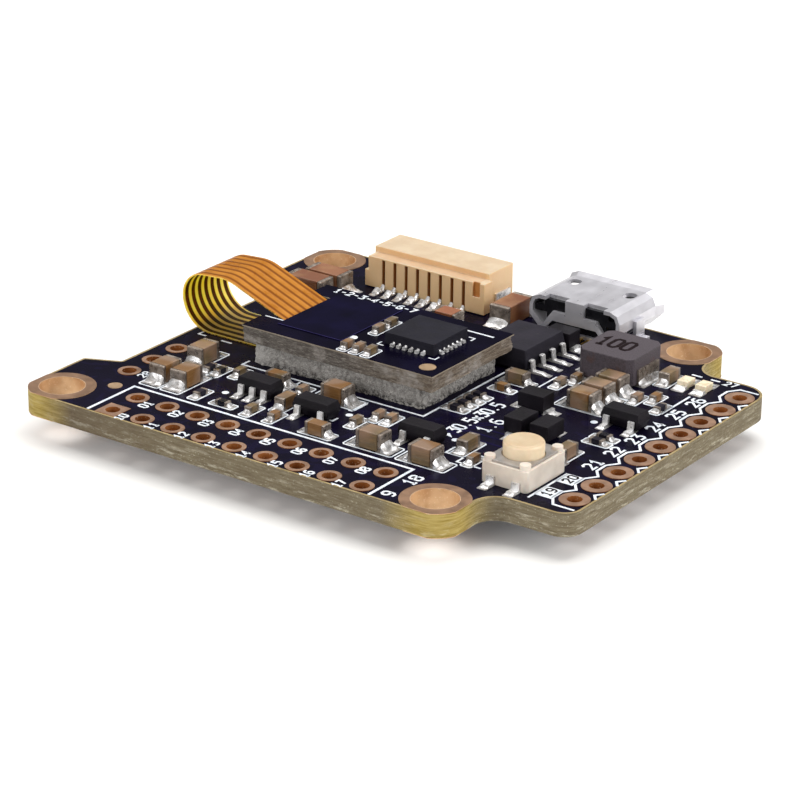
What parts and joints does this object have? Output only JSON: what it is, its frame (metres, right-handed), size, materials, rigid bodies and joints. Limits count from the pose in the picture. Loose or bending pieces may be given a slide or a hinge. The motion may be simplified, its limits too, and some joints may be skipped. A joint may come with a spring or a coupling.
{
  "type": "flight controller board",
  "caption": "Square multirotor flight controller circuit board with a foam-mounted gyro board on a flexible ribbon, a USB port, a wire socket, rows of solder pads and a boot button.",
  "frame": {"origin": "centre of the four mounting holes, on the underside of the main board", "axes": "+Z out of the component side, +X towards the tab with the row of side pads, +Y towards the USB port"},
  "size_m": [0.0408, 0.0356, 0.0077],
  "materials": {
    "solder_mask": "semi-gloss dark solder mask over glass epoxy",
    "copper": "matt pink plated copper",
    "shell_steel": "satin plated steel",
    "tinned_metal": "bright solder-tinned metal",
    "cream_plastic": "cream nylon",
    "white_plastic": "off-white nylon",
    "black_plastic": "black moulding",
    "chip_resin": "near-black epoxy moulding",
    "ceramic_tan": "tan fired ceramic",
    "ferrite_grey": "mauve-grey pressed iron powder",
    "foam_grey": "open-cell grey foam",
    "polyimide": "amber polyimide film over copper traces",
    "led_resin": "pale yellow clear resin"
  },
  "bodies": {
    "board": {"barometer_base": "white_plastic", "barometer_lid": "shell_steel", "button_base": "white_plastic", "button_cover": "shell_steel", "button_dome": "shell_steel", "button_terminals": "tinned_metal", "capacitor_0402_bodies": "ceramic_tan", "capacitor_0402_terminals": "tinned_metal", "capacitor_0603_bodies": "ceramic_tan", "capacitor_0603_terminals": "tinned_metal", "capacitor_0805_bodies": "ceramic_tan", "capacitor_0805_terminals": "tinned_metal", "capacitor_1206_bodies": "ceramic_tan", "capacitor_1206_terminals": "tinned_metal", "connector_hold_downs": "tinned_metal", "connector_housing": "cream_plastic", "connector_pins": "tinned_metal", "crystal_base": "white_plastic", "crystal_lid": "shell_steel", "diode_bodies": "chip_resin", "diode_terminals": "tinned_metal", "fiducial_dot": "copper", "flash_chip_body": "chip_resin", "flash_chip_leads": "tinned_metal", "flex_ribbon": "polyimide", "foam_pad": "foam_grey", "inductor_core": "ferrite_grey", "inductor_terminals": "tinned_metal", "led_bases": "white_plastic", "led_lenses": "led_resin", "led_terminals": "tinned_metal", "main_pcb": "solder_mask", "mcu_body": "chip_resin", "mcu_leads": "tinned_metal", "mounting_hole_plating": "copper", "power_hole_plating": "copper", "regulator_body": "chip_resin", "regulator_leads": "tinned_metal", "resistor_bodies": "chip_resin", "resistor_terminals": "tinned_metal", "side_row_plating": "copper", "signal_header_plating": "copper", "transistor_bodies": "chip_resin", "transistor_leads": "tinned_metal", "underside_capacitor_bodies": "ceramic_tan", "underside_capacitor_terminals": "tinned_metal", "usb_contacts": "tinned_metal", "usb_insulator": "black_plastic", "usb_shell": "shell_steel", "video_chip_body": "chip_resin", "video_chip_leads": "tinned_metal"},
    "gyro": {"gyro_capacitor_bodies": "ceramic_tan", "gyro_capacitor_terminals": "tinned_metal", "gyro_chip_body": "chip_resin", "gyro_chip_pads": "tinned_metal", "gyro_flex_cover": "solder_mask", "gyro_pcb": "solder_mask"},
    "button": {"button_cap": "cream_plastic"}
  },
  "joints": [
    {"name": "gyro_float", "type": "slide", "parent": "board", "child": "gyro", "axis": [0, 0, -1], "range_m": [0, 0.0005], "stiffness_N_per_m": 3000, "deforming": ["foam_pad", "flex_ribbon"]},
    {"name": "button_press", "type": "slide", "parent": "board", "child": "button", "axis": [0, 0, -1], "range_m": [0, 0.00025], "stiffness_N_per_m": 6400, "deforming": ["button_dome"]}
  ]
}
